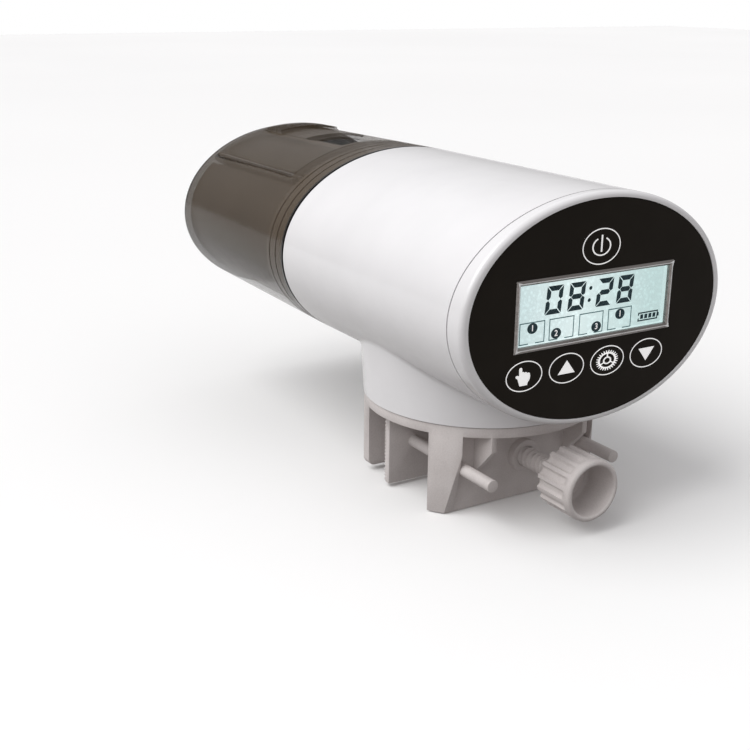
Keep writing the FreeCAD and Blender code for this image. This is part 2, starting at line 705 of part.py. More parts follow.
def output_spindle():
    rise = "axis_height"
    step = layer(2) - 0.2
    journal = rod("spindle_journal", 2.0, f"{step} - case_front + 0.4", 0, "case_front - 0.4", rise)
    barrel = rod("spindle_barrel", "spindle_radius", f"drum_front + 0.6 - {step}", 0, step, rise)
    drive = common("spindle_drive", rod("drive_round", "spindle_radius", 8.4, 0, "drum_front + 0.6", rise),
                   box("drive_flats", -3, "drum_front + 0.6", f"{rise} - 2.2", 6, 8.4, 4.4))
    keep(join("spindle_solid", journal, barrel, drive), "drive_spindle")


# ---- food drum

def drum_body():
    outer = tapered_bar("drum_outer", 0, "drum_front", "drum_end")
    end = value("drum_end")
    soft = round_edges("drum_soft", outer, "end_round", lambda e: abs(e.BoundBox.YMin - end) < 0.01)
    room = tapered_bar("drum_room", "drum_wall", "drum_front - 1", "drum_end - 2")
    z = "axis_height + hinge_rise"
    trough = common("trough", tapered_bar("trough_limit", "trough_depth", "drum_front + 1", "drum_end - 1"),
                    rod("trough_bar", "trough_radius", "door_rear - door_front + 4.6", "hinge_x",
                        "door_front - 2.4", z))
    shell = join("drum_troughed", cut("drum_tube", soft, room), trough)
    gap = "door_gap"
    mouth = box("drum_mouth", -40, f"door_front - {gap}", f"axis_height + door_rise - {gap}", 80,
                f"door_rear - door_front + 2 * {gap}", 20)
    groove = rod("drum_groove", "groove_radius", f"door_rear - door_front + 2 * {gap}", "hinge_x",
                 f"door_front - {gap}", z)
    bore = rod("drum_pin_bore", "pin_radius", "door_rear - door_front + 3.6", "hinge_x",
               "door_front - 1.8", z)
    lines = [cut(f"collar_groove_{i}", tapered_bar(f"line_out_{i}", -1, y, f"{y} + line_width"),
                 tapered_bar(f"line_in_{i}", "line_depth", f"{y} - 1", f"{y} + 1.5"))
             for i, y in enumerate(("collar_line_a", "collar_line_b"))]
    keep(cut("drum_cut", shell, mouth, groove, bore, *lines), "drum_body")
    keep(rod("hinge_rod", "pin_radius", "door_rear - door_front + 3.4", "hinge_x",
             "door_front - 1.7", z), "hinge_pin")


def drum_cap():
    disc = tapered_bar("cap_bar", "drum_wall + fit_gap", "drum_front + 0.1", "drum_front + 10.8")
    room = tapered_bar("cap_room", "drum_wall + fit_gap + 1.6", "drum_front + 2.1", "drum_front + 12")
    hub = rod("cap_hub", 6.5, 8.6, 0, "drum_front + 1.5", "axis_height")
    socket = common("cap_socket", rod("socket_round", "spindle_radius + running_gap", 9.4, 0,
                                      "drum_front", "axis_height"),
                    box("socket_flats", -4, "drum_front", "axis_height - 2.25", 8, 9.4, 4.5))
    entry = rod("cap_entry", "spindle_radius + running_gap", 0.9, 0, "drum_front", "axis_height")
    keep(cut("cap_cut", join("cap_blank", cut("cap_tub", disc, room), hub), socket, entry), "drum_cap")


def filling_door():
    front, rear = "door_front", "door_rear"
    span = f"{rear} - {front}"
    skin = cut("door_skin", tapered_bar("door_outer", 0, "door_front - 5", "door_rear + 3"),
               tapered_bar("door_inner", "drum_wall", "door_front - 6", "door_rear + 4"))
    panel = common("door_panel", skin, box("door_limits", -29.0, front, "axis_height + door_rise",
                                           70, span, 20))
    z = "axis_height + hinge_rise"
    bead = rod("door_bead", "bead_radius", span, "hinge_x", front, z)
    tab = common("door_tab",
                 cut("tab_skin", tapered_bar("tab_outer", -1.0, 78, 100),
                     tapered_bar("tab_inner", -0.3, 77, 101)),
                 box("tab_limits", 24, 84, "axis_height + door_rise - 2.4", 20, 10, 4.4))
    root = common("door_tab_root", tapered_bar("root_outer", -1.0, 78, 100),
                  box("root_limits", 24, 84, "axis_height + door_rise + 0.2", 20, 10, 1.8))
    root = cut("door_tab_base", root, tapered_bar("root_inner", "drum_wall", 77, 101))
    track = common("door_track",
                   cut("track_skin", tapered_bar("track_outer", -3, "door_front", "door_rear"),
                       tapered_bar("track_floor", "track_depth", "door_front - 1", "door_rear + 1")),
                   box("track_limits", "-track_half", "window_front - 3.5", 50, "2 * track_half",
                       "shutter_rear - window_front + 4.6", 30))
    window = box("door_window", "-window_half", "window_front", 50, "2 * window_half",
                 "window_rear - window_front", 30)
    bore = rod("door_pin_bore", "pin_radius + running_gap + 0.01", f"{span} + 2", "hinge_x",
               f"{front} - 1", z)
    keep(cut("door_cut", join("door_blank", panel, bead, tab, root), track, window, bore),
         "filling_door")


def outlet_shutter():
    floor = "track_depth - 0.15"
    limits = box("shutter_limits", "0.4 - track_half", "shutter_front", 50,
                 "2 * track_half - 0.8", "shutter_rear - shutter_front", 30)
    low = tapered_bar("shutter_under", floor, "shutter_front - 3", "shutter_rear + 3")
    slab = common("shutter_slab", limits, tapered_bar("shutter_top", 0, "shutter_front - 2",
                                                      "shutter_rear + 2"))
    grip = common("shutter_grip", box("grip_limits", "0.4 - track_half", "shutter_step", 50,
                                      "2 * track_half - 0.8", "shutter_rear - shutter_step", 30),
                  tapered_bar("grip_top", "-grip_proud", "shutter_step - 2", "shutter_rear + 2"))
    ridge_skin = tapered_bar("ridge_top", "-ridge_proud", "shutter_step - 2", "shutter_rear + 2")
    ridges = [box(f"ridge_{i}", "0.4 - track_half", f"shutter_step + 0.9 + ridge_step * {i}", 50,
                  "2 * track_half - 0.8", "ridge_width", 30) for i in range(7)]
    ridge_set = common("shutter_ridges", join("ridge_boxes", *ridges), ridge_skin)
    keep(cut("shutter_cut", join("shutter_blank", slab, grip, ridge_set), low), "outlet_shutter")


clamp_frame()
swivel_pivot()
sliding_jaw()
clamp_screw()
clamp_knob()
body_shell()
front_bezel()
display_stack()
main_board()
rear_bulkhead()
batteries()
gear_train()
gear_case()
output_spindle()
drum_body()
drum_cap()
filling_door()
outlet_shutter()
doc.recompute()

for item in doc.Objects:
    if "Invalid" in item.State or "Error" in item.State:
        raise RuntimeError("%s did not rebuild: %s" % (item.Name, item.State))
for item in nodes:
    if item.Shape.isNull() or not item.Shape.isValid() or not item.Shape.Solids:
        raise RuntimeError("%s has no sound solid" % item.Label)

os.makedirs("parts", exist_ok=True)
for item in nodes:
    item.Shape.exportStep("parts/%s.step" % item.Label)
    extent = item.Shape.BoundBox
    print("%-18s solids %d  volume %9.1f  y %7.2f %7.2f  z %7.2f %7.2f" % (
        item.Label, len(item.Shape.Solids), item.Shape.Volume, extent.YMin, extent.YMax,
        extent.ZMin, extent.ZMax))
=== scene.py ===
import bpy
import bmesh
import math
from mathutils import Matrix, Vector


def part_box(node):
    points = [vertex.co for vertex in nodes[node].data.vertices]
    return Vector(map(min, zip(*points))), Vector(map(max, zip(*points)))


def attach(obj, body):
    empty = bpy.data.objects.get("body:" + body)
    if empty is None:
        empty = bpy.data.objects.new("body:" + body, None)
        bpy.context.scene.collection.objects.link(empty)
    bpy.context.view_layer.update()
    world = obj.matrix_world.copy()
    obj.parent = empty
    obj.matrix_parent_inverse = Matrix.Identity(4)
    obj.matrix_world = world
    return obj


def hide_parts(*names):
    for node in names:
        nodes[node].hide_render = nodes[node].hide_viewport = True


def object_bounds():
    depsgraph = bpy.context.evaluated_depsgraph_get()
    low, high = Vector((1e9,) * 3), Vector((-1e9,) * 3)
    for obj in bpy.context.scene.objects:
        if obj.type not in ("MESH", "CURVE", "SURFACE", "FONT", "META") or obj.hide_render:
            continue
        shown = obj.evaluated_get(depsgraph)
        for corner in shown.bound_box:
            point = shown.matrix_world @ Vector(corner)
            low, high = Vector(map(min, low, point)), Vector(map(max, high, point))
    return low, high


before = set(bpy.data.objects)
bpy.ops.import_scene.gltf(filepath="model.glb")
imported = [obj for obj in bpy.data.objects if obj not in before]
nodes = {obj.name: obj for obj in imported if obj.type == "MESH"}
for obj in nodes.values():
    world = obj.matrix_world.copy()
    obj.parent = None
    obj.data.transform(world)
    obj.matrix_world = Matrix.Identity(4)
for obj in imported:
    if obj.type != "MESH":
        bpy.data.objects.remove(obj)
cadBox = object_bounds()
mm = 0.001
print("frame loaded:", len(nodes), "nodes")


# camera and studio

cameraPlace = {
    "spot": (-0.19789, -0.26720, 0.11594),
    "heading": -31.248,
    "tilt": -18.287,
    "roll": 0.558,
    "lens": 57.06,
    "clip": (0.01, 20),
}
studio = {
    "floorSize": 6.0,
    "floorDrop": 0.0004,
    # how high from straight down, 0, to straight up, 1, and the light from there
    "sky": ((0.40, (0.175, 0.163, 0.160, 1)), (0.56, (0.42, 0.41, 0.41, 1)), (0.90, (0.62, 0.62, 0.63, 1))),
    "behind": (1, 1, 1, 1),
    "sunFrom": (-0.62, 0.10, 0.78),
    "sunPower": 1.9,
    "sunSpread": 50,
    # name: where it hangs, what it faces, width, height, power
    "lamps": {
        "leftSoftbox": ((-0.70, -0.30, 0.42), (0.0, 0.03, 0.04), 0.45, 0.45, 0.9),
    },
}


def placeCamera():
    turn = (Matrix.Rotation(math.radians(cameraPlace["heading"]), 4, "Z")
            @ Matrix.Rotation(math.radians(90 + cameraPlace["tilt"]), 4, "X")
            @ Matrix.Rotation(math.radians(cameraPlace["roll"]), 4, "Z"))
    data = bpy.data.cameras.new("viewCamera")
    data.lens = cameraPlace["lens"]
    data.clip_start, data.clip_end = cameraPlace["clip"]
    camera = bpy.data.objects.new("viewCamera", data)
    camera.matrix_world = Matrix.Translation(cameraPlace["spot"]) @ turn
    bpy.context.scene.collection.objects.link(camera)
    bpy.context.scene.camera = camera


def aimLamp(lamp, spot, target):
    lamp.location = spot
    lamp.rotation_mode = "QUATERNION"
    lamp.rotation_quaternion = (Vector(target) - Vector(spot)).to_track_quat("-Z", "Y")
    bpy.context.scene.collection.objects.link(lamp)


def hangLamps():
    for name, (spot, target, width, height, power) in studio["lamps"].items():
        data = bpy.data.lights.new(name, "AREA")
        data.shape = "RECTANGLE"
        data.size, data.size_y, data.energy = width, height, power
        aimLamp(bpy.data.objects.new(name, data), spot, target)
    sun = bpy.data.lights.new("ceilingPanel", "SUN")
    sun.energy, sun.angle = studio["sunPower"], math.radians(studio["sunSpread"])
    aimLamp(bpy.data.objects.new("ceilingPanel", sun), studio["sunFrom"], (0, 0, 0))
    bpy.context.scene.view_settings.view_transform = "Standard"


placeCamera()
hangLamps()
print("camera and lamps placed")


# shader sums

class Wire:
    # a node's output that takes part in sums
    def __init__(self, finish, socket):
        self.finish, self.socket = finish, socket

    def sum(self, operation, first, second):
        return self.finish.node("Math", {"operation": operation}, {0: first, 1: second})

    def __add__(self, other):
        return self.sum("ADD", self, other)

    def __sub__(self, other):
        return self.sum("SUBTRACT", self, other)

    def __mul__(self, other):
        return self.sum("MULTIPLY", self, other)

    def __truediv__(self, other):
        return self.sum("DIVIDE", self, other)

    def __rsub__(self, other):
        return self.sum("SUBTRACT", other, self)

    def __rtruediv__(self, other):
        return self.sum("DIVIDE", other, self)

    def __gt__(self, other):
        return self.sum("GREATER_THAN", self, other)

    def __lt__(self, other):
        return self.sum("LESS_THAN", self, other)

    __radd__ = __add__
    __rmul__ = __mul__


class Finish:
    # a material, or the sky, under construction
    def __init__(self, name, owner=None, place="Object"):
        self.material = owner or bpy.data.materials.new(name)
        self.material.use_nodes = True
        self.tree = self.material.node_tree
        self.tree.nodes.clear()
        self.place = self.node("TexCoord", output=place)

    def node(self, kind, settings=None, inputs=None, output=0):
        made = self.tree.nodes.new("ShaderNode" + kind)
        for key, value in (settings or {}).items():
            if key == "stops":
                self.setStops(made.color_ramp, value)
            else:
                setattr(made, key, value)
        for key, value in (inputs or {}).items():
            if isinstance(value, Wire):
                self.tree.links.new(value.socket, made.inputs[key])
            else:
                made.inputs[key].default_value = value
        return Wire(self, made.outputs[output])

    def setStops(self, ramp, stops):
        while len(ramp.elements) < len(stops):
            ramp.elements.new(0.5)
        for element, (position, colour) in zip(ramp.elements, stops):
            element.position = position
            element.color = colour

    def along(self, axis):
        return self.node("SeparateXYZ", inputs={0: self.place}, output=axis)

    def noise(self, scale, detail):
        return self.node("TexNoise", inputs={"Vector": self.place, "Scale": scale, "Detail": detail})

    def ramp(self, factor, *stops):
        return self.node("ValToRGB", {"stops": stops}, {"Fac": factor})

    def mottle(self, noise, dark, light):
        return self.ramp(noise, (0.3, dark), (0.7, light))

    def blend(self, factor, first, second):
        return self.node("Mix", {"data_type": "RGBA"}, {0: factor, 6: first, 7: second}, output=2)

    def bump(self, height, strength, distance):
        return self.node("Bump", inputs={"Height": height, "Strength": strength, "Distance": distance})

    def surface(self, **values):
        named = {key.replace("_", " "): value for key, value in values.items()}
        return self.close("OutputMaterial", self.node("BsdfPrincipled", inputs=named))

    def close(self, kind, shader):
        end = self.tree.nodes.new("ShaderNode" + kind)
        self.tree.links.new(shader.socket, end.inputs["Surface"])
        return self.material


def grey(level, warm=0.0):
    return (level * (1 + warm), level, level * (1 - warm), 1)


def paintSky():
    # pale overhead and dim below; plain white behind the object
    world = bpy.data.worlds.new("studioSky")
    sky = Finish("studioSky", world, "Generated")
    height = sky.along("Z") * 0.5 + 0.5
    seen = sky.node("LightPath", output="Is Camera Ray")
    light = sky.blend(seen, sky.ramp(height, *studio["sky"]), studio["behind"])
    sky.close("OutputWorld", sky.node("Background", inputs={"Color": light}))
    bpy.context.scene.world = world


paintSky()


# finishes

def whiteShell():
    finish = Finish("whiteShell")
    cloud = finish.noise(60, 4)
    grain = finish.noise(1400, 2)
    return finish.surface(
        Base_Color=finish.mottle(cloud, (0.80, 0.79, 0.80, 1), (0.83, 0.82, 0.83, 1)),
        Roughness=0.20 + 0.07 * cloud, Coat_Weight=0.25, Coat_Roughness=0.08,
        Normal=finish.bump(grain, 0.10, 0.00004))


def clampGrey():
    finish = Finish("clampGrey")
    cloud = finish.noise(110, 4)
    speck = finish.noise(2600, 2)
    tint = finish.ramp(cloud * 0.6 + speck * 0.4, (0.35, (0.59, 0.545, 0.53, 1)),
                       (0.65, (0.70, 0.655, 0.64, 1)))
    return finish.surface(Base_Color=tint, Roughness=0.42 + 0.18 * speck, Specular_IOR_Level=0.4,
                          Normal=finish.bump(speck, 0.25, 0.00006))


smokeDrum = {
    "start": 0.040,
    "length": 0.090,
    # share of that length, and how little shows through a wall there: the collar, the drum, the far rim
    "depths": ((0.148, 0.62), (0.152, 0.46), (0.884, 0.46), (0.892, 0.84)),
    # the lip next to the housing is painted shade, made dark and opaque for the shadow in the gap there
    "gapShadeEnd": 0.042,
    "gapShadeExtraDepth": 0.5,
    "gapShadeTint": (0.004, 0.003, 0.002, 1),
    "rimStart": 0.888,
    "rimTint": (0.030, 0.023, 0.017, 1),
}


def smokePlastic():
    # painted shade: nearly black at the lip by the housing, for the shadow in the gap between drum and
    # housing; deeper along the collar and at the solid far end
    finish = Finish("smokePlastic")
    cloud = finish.noise(45, 3)
    along = (finish.along("Y") - smokeDrum["start"]) / smokeDrum["length"]
    lip, rim = along < smokeDrum["gapShadeEnd"], along > smokeDrum["rimStart"]
    depth = finish.ramp(along, *((place, grey(level)) for place, level in smokeDrum["depths"]))
    tint = finish.mottle(cloud, (0.100, 0.072, 0.045, 1), (0.118, 0.086, 0.056, 1))
    tint = finish.blend(lip, finish.blend(rim, tint, smokeDrum["rimTint"]), smokeDrum["gapShadeTint"])
    return finish.surface(Base_Color=tint, Roughness=0.20 + 0.05 * cloud,
                          Alpha=depth + lip * smokeDrum["gapShadeExtraDepth"],
                          IOR=1.46, Coat_Weight=0.06, Coat_Roughness=0.08)


def panelBlack():
    finish = Finish("panelBlack")
    haze = finish.noise(90, 3)
    tint = finish.mottle(haze, (0.0150, 0.0120, 0.0090, 1), (0.0185, 0.0150, 0.0115, 1))
    return finish.surface(Base_Color=tint, Roughness=0.30 + 0.1 * haze, Specular_IOR_Level=0.04)


def trimMetal():
    finish = Finish("trimMetal")
    drawn = finish.node("Mapping", inputs={"Vector": finish.place, "Scale": (40, 900, 900)})
    streak = finish.node("TexNoise", inputs={"Vector": drawn, "Scale": 1.0, "Detail": 3.0})
    tint = finish.mottle(streak, (0.17, 0.155, 0.145, 1), (0.27, 0.25, 0.24, 1))
    return finish.surface(Base_Color=tint, Metallic=0.85, Roughness=0.22 + 0.14 * streak)


def paintedHighlightTrim():
    # painted highlight: a near white finish for the bead, standing in for the shine along the display
    # surround's crest and at its corners
    finish = Finish("paintedHighlightTrim")
    highlightMottle = finish.noise(260, 3)
    return finish.surface(Base_Color=finish.mottle(highlightMottle, grey(0.74), grey(0.88)),
                          Metallic=0.15, Roughness=0.16 + 0.14 * highlightMottle)


def lensClear():
    finish = Finish("lensClear")
    smear = finish.noise(120, 3)
    return finish.surface(Base_Color=(0.9, 0.95, 0.95, 1), Roughness=0.04 + 0.05 * smear,
                          Alpha=0.02 + 0.01 * smear, Specular_IOR_Level=0.1)


def displayGlass():
    # lit a little brighter left of the middle
    finish = Finish("displayGlass")
    screenWidth = 0.052
    across = finish.along("X") * (1 / screenWidth) + 0.5
    cloud = finish.noise(70, 3)
    tint = finish.ramp(across + 0.15 * cloud, (0.10, (0.65, 0.74, 0.745, 1)), (0.45, (0.76, 0.83, 0.83, 1)),
                       (0.95, (0.61, 0.72, 0.715, 1)))
    return finish.surface(Base_Color=tint, Roughness=0.35, Specular_IOR_Level=0.2,
                          Emission_Color=tint, Emission_Strength=0.52)


def lightGuide():
    finish = Finish("lightGuide")
    dots = finish.node("TexVoronoi", inputs={"Vector": finish.place, "Scale": 900.0}, output="Distance")
    return finish.surface(Base_Color=finish.ramp(dots, (0.2, grey(0.9)), (0.5, grey(0.72))),
                          Roughness=0.3 + 0.2 * dots)


def circuitBoard():
    finish = Finish("circuitBoard")
    turned = finish.node("Mapping", inputs={"Vector": finish.place, "Rotation": (math.radians(90), 0, 0)})
    tracks = finish.node("TexBrick", {"offset": 0.37, "squash": 1.6}, {
        "Vector": turned, "Scale": 260.0, "Mortar Size": 0.018, "Color1": (0, 0, 0, 1),
        "Color2": (0.25, 0.25, 0.25, 1), "Mortar": (1, 1, 1, 1)})
    mask = finish.node("SeparateColor", inputs={0: tracks})
    tint = finish.blend(mask, (0.012, 0.075, 0.030, 1), (0.035, 0.17, 0.07, 1))
    return finish.surface(Base_Color=tint, Roughness=0.32 + 0.1 * mask,
                          Normal=finish.bump(mask, 0.3, 0.00005))


def chipBlack():
    finish = Finish("chipBlack")
    grain = finish.noise(3000, 2)
    return finish.surface(Base_Color=finish.mottle(grain, grey(0.014), grey(0.028)),
                          Roughness=0.45 + 0.2 * grain, Normal=finish.bump(grain, 0.2, 0.00004))


def platedSteel():
    finish = Finish("platedSteel")
    brushed = finish.noise(700, 4)
    return finish.surface(Base_Color=finish.mottle(brushed, grey(0.52), grey(0.66, 0.02)),
                          Metallic=1.0, Roughness=0.22 + 0.2 * brushed,
                          Normal=finish.bump(brushed, 0.1, 0.00003))


def cellJacket():
    # a dark sleeve with a copper band, bare metal at both ends
    finish = Finish("cellJacket")
    cellStart, cellLength = -0.0144, 0.0505
    along = (finish.along("Y") - cellStart) / cellLength
    wrap = finish.noise(500, 2)
    tint = finish.ramp(along, (0.0, grey(0.55)),
                       (0.035, (0.02, 0.03, 0.05, 1)), (0.68, (0.025, 0.035, 0.06, 1)),
                       (0.70, (0.62, 0.36, 0.12, 1)), (0.955, (0.66, 0.40, 0.14, 1)), (0.97, grey(0.6)))
    return finish.surface(Base_Color=tint, Metallic=(along > 0.69) * 0.7, Roughness=0.25 + 0.1 * wrap)


def gearPlastic():
    finish = Finish("gearPlastic")
    cloud = finish.noise(300, 3)
    return finish.surface(Base_Color=finish.mottle(cloud, (0.70, 0.68, 0.60, 1), (0.77, 0.75, 0.68, 1)),
                          Roughness=0.38 + 0.12 * cloud, Normal=finish.bump(cloud, 0.1, 0.00005))


def bushBrass():
    finish = Finish("bushBrass")
    cloud = finish.noise(900, 4)
    return finish.surface(Base_Color=finish.mottle(cloud, (0.60, 0.40, 0.14, 1), (0.74, 0.52, 0.20, 1)),
                          Metallic=1.0, Roughness=0.24 + 0.2 * cloud)


def innerPlastic():
    finish = Finish("innerPlastic")
    cloud = finish.noise(200, 4)
    grain = finish.noise(2400, 2)
    return finish.surface(Base_Color=finish.mottle(cloud, grey(0.16, 0.03), grey(0.20, 0.03)),
                          Roughness=0.45 + 0.15 * grain, Normal=finish.bump(grain, 0.2, 0.00005))


def whiteInner():
    finish = Finish("whiteInner")
    cloud = finish.noise(150, 4)
    grain = finish.noise(2200, 2)
    return finish.surface(Base_Color=finish.mottle(cloud, grey(0.62, 0.01), grey(0.68, 0.01)),
                          Roughness=0.45 + 0.15 * grain, Normal=finish.bump(grain, 0.2, 0.00005))


def whiteInkWithPaintedGlow():
    # painted light: the emission makes the white prints glow brighter than the lamps alone light them
    finish = Finish("whiteInkWithPaintedGlow")
    grain = finish.noise(1800, 2)
    return finish.surface(Base_Color=finish.mottle(grain, grey(0.86, 0.01), grey(0.93, 0.01)),
                          Roughness=0.5 + 0.1 * grain, Emission_Color=grey(1.0), Emission_Strength=0.40)


def darkSegment():
    finish = Finish("darkSegment")
    cloud = finish.noise(500, 2)
    tint = finish.mottle(cloud, (0.016, 0.042, 0.052, 1), (0.026, 0.060, 0.072, 1))
    return finish.surface(Base_Color=tint, Roughness=0.5 + 0.1 * cloud, Specular_IOR_Level=0.1)


def tealLine():
    finish = Finish("tealLine")
    cloud = finish.noise(500, 2)
    return finish.surface(Base_Color=finish.mottle(cloud, (0.13, 0.27, 0.29, 1), (0.17, 0.32, 0.34, 1)),
                          Roughness=0.5 + 0.1 * cloud, Specular_IOR_Level=0.1)


finishes = {
    "white_shell": whiteShell(), "clamp_grey": clampGrey(), "smoke_clear": smokePlastic(),
    "panel_black": panelBlack(), "display_trim": trimMetal(), "bright_trim": paintedHighlightTrim(),
    "lens_clear": lensClear(), "display_glass": displayGlass(), "light_guide": lightGuide(),
    "circuit_board": circuitBoard(),
    "chip_black": chipBlack(), "plated_steel": platedSteel(), "cell_jacket": cellJacket(),
    "gear_plastic": gearPlastic(), "bush_brass": bushBrass(), "inner_plastic": innerPlastic(),
    "white_inner": whiteInner(), "white_ink": whiteInkWithPaintedGlow(), "dark_segment": darkSegment(),
    "teal_line": tealLine(),
}
for node in nodes.values():
    for holder in node.material_slots:
        holder.material = finishes[holder.material.name]
print("finishes made:", len(finishes))


# making pieces

weld = 0.002 * mm  # corners nearer than this are one


def finishPiece(name, mesh, body, finish, replaced=(), sharp=35):
    # normals outwards, smooth shading broken at edges sharper than the given angle
    bmesh.ops.remove_doubles(mesh, verts=mesh.verts, dist=weld)
    bmesh.ops.recalc_face_normals(mesh, faces=mesh.faces)
    limit = math.radians(sharp)
    for face in mesh.faces:
        face.smooth = True
    for edge in mesh.edges:
        edge.smooth = len(edge.link_faces) == 2 and edge.calc_face_angle(0) < limit
    data = bpy.data.meshes.new(name)
    mesh.to_mesh(data)
    mesh.free()
    data.materials.append(finishes[finish])
    piece = bpy.data.objects.new(name, data)
    bpy.context.scene.collection.objects.link(piece)
    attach(piece, body)
    if replaced:
        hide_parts(*replaced)


softEdges = {
    # in degrees: a smaller turn between two faces is taken as flat, and a larger one is rounded over
    "flat": 0.6,
    "turn": 32,
    "segments": 2,
}


def softened(node, name, body, finish, radius):
    # the CAD shape with its edges rounded over as on a moulding
    mesh = bmesh.new()
    mesh.from_mesh(nodes[node].data)
    bmesh.ops.remove_doubles(mesh, verts=mesh.verts, dist=weld)
    flat, limit = math.radians(softEdges["flat"]), math.radians(softEdges["turn"])
    bmesh.ops.dissolve_limit(mesh, angle_limit=flat, verts=mesh.verts, edges=mesh.edges)
    edges = [e for e in mesh.edges if len(e.link_faces) == 2 and e.calc_face_angle(0) > limit]
    bmesh.ops.bevel(mesh, geom=edges, offset=radius * mm, offset_type="OFFSET",
                    segments=softEdges["segments"], profile=0.5, affect="EDGES",
                    clamp_overlap=True, material=-1)
    finishPiece(name, mesh, body, finish, (node,))


def lathe(mesh, outline, centre, steps=96):
    # spins (distance from the axis, place along it) about a line parallel to +Y
    corners = [mesh.verts.new((centre[0] + r * mm, y * mm, centre[1])) for r, y in outline]
    edges = [mesh.edges.new(pair) for pair in zip(corners, corners[1:])]
    bmesh.ops.spin(mesh, geom=corners + edges, cent=(centre[0], 0, centre[1]), axis=(0, 1, 0),
                   dvec=(0, 0, 0), angle=2 * math.pi, steps=steps, use_merge=True)
    bmesh.ops.remove_doubles(mesh, verts=mesh.verts, dist=weld)


def stamp(mesh, outline, front, thick):
    # flat print: a closed outline of (x, z) in metres, standing proud of front towards -Y
    face = mesh.faces.new([mesh.verts.new((x, front, z)) for x, z in outline])
    raised = bmesh.ops.extrude_face_region(mesh, geom=[face])
    moved = [v for v in raised["geom"] if isinstance(v, bmesh.types.BMVert)]
    bmesh.ops.translate(mesh, verts=moved, vec=(0, -thick * mm, 0))


def insetFace(mesh, face, width):
    face.normal_update()
    bmesh.ops.inset_individual(mesh, faces=[face], thickness=width * mm, depth=0, use_even_offset=True)


def arcPoints(radius, start, end, steps):
    turns = [math.radians(start + (end - start) * i / steps) for i in range(steps + 1)]
    return [(radius * math.cos(t), radius * math.sin(t)) for t in turns]


def ringOutline(outer, inner, start, end, steps):
    return arcPoints(outer, start, end, steps) + arcPoints(inner, end, start, steps)


# clamp

clampMouldings = {
    # node: its piece, its body, how far its edges are rounded
    "clamp_frame": ("clampFrameMoulding", "clamp_base", 0.28),
    "sliding_jaw": ("slidingJawMoulding", "jaw", 0.16),
}
for node, (piece, body, radius) in clampMouldings.items():
    softened(node, piece, body, "clamp_grey", radius)

screwThread = {
    "pitch": 2.0,
    "root": 2.15,
    "crest": 2.88,
    # along one pitch: share of it, and 0 at the root or 1 at the crest
    "profile": ((0.0, 0), (0.24, 1), (0.42, 1), (0.66, 0), (1.0, 0)),
    # how far inside the screw's two ends it starts and stops
    "frontGap": 0.1,
    "rearGap": 5.6,
    "stepsPerTurn": 40,
    "neckRadius": 1.5,
    "neckStart": 1.0,
    "tipRadius": 2.85,
    "tipLength": 3.7,
    "tipChamfer": 0.4,
}


def clampScrew():
    low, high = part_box("clamp_screw")
    axis = (0.0, (low.z + high.z) / 2)
    pitch, perTurn = screwThread["pitch"], screwThread["stepsPerTurn"]
    root, crest = screwThread["root"], screwThread["crest"]
    front, rear = low.y / mm + screwThread["frontGap"], high.y / mm - screwThread["rearGap"]
    mesh = bmesh.new()
    # one pitch of the ridge is wound on past both ends, which are then cut square and closed
    start = front - 2 * pitch
    ridge = [(crest if up else root, start + share * pitch) for share, up in screwThread["profile"]]
    corners = [mesh.verts.new((axis[0] + r * mm, y * mm, axis[1])) for r, y in ridge]
    edges = [mesh.edges.new(pair) for pair in zip(corners, corners[1:])]
    steps = round(perTurn * ((rear - front) / pitch + 3))
    bmesh.ops.spin(mesh, geom=corners + edges, cent=(axis[0], 0, axis[1]), axis=(0, 1, 0),
                   dvec=(0, pitch / perTurn * mm, 0), angle=2 * math.pi * steps / perTurn, steps=steps)
    bmesh.ops.remove_doubles(mesh, verts=mesh.verts, dist=5 * weld)
    for place, side in ((front, 1), (rear, -1)):
        everything = mesh.verts[:] + mesh.edges[:] + mesh.faces[:]
        sliced = bmesh.ops.bisect_plane(mesh, geom=everything, plane_co=(0, place * mm, 0),
                                        plane_no=(0, -side, 0), clear_outer=True)
        rim = [e for e in sliced["geom_cut"] if isinstance(e, bmesh.types.BMEdge)]
        bmesh.ops.contextual_create(mesh, geom=rim)
    neck, tip, chamfer = (screwThread[key] for key in ("neckRadius", "tipRadius", "tipChamfer"))
    end = high.y / mm
    shoulder = end - screwThread["tipLength"]
    neckStart = rear - screwThread["neckStart"]
    lathe(mesh, [(0, neckStart), (neck, neckStart), (neck, shoulder - 0.02), (tip, shoulder),
                 (tip, end - chamfer), (tip - chamfer, end), (0, end)], axis)
    finishPiece("clampScrewThread", mesh, "screw", "clamp_grey", ("clamp_screw",))


clampScrew()

knobShape = {
    "wall": 1.6,
    "floorThick": 2.6,
    "hubRadius": 4.2,
    "hubLong": 4.6,
    "flutes": 15,
    "channelDepth": 0.85,
    "channelShare": 0.64,
    # where the channels start behind the front, and over what length they reach full depth
    "frontLip": 2.2,
    "runIn": 0.9,
    # only what lies this near the outside, and this far behind the front, is pressed in
    "skin": 0.6,
    "stepsPerFlute": 14,
    "rowStep": 0.5,
}


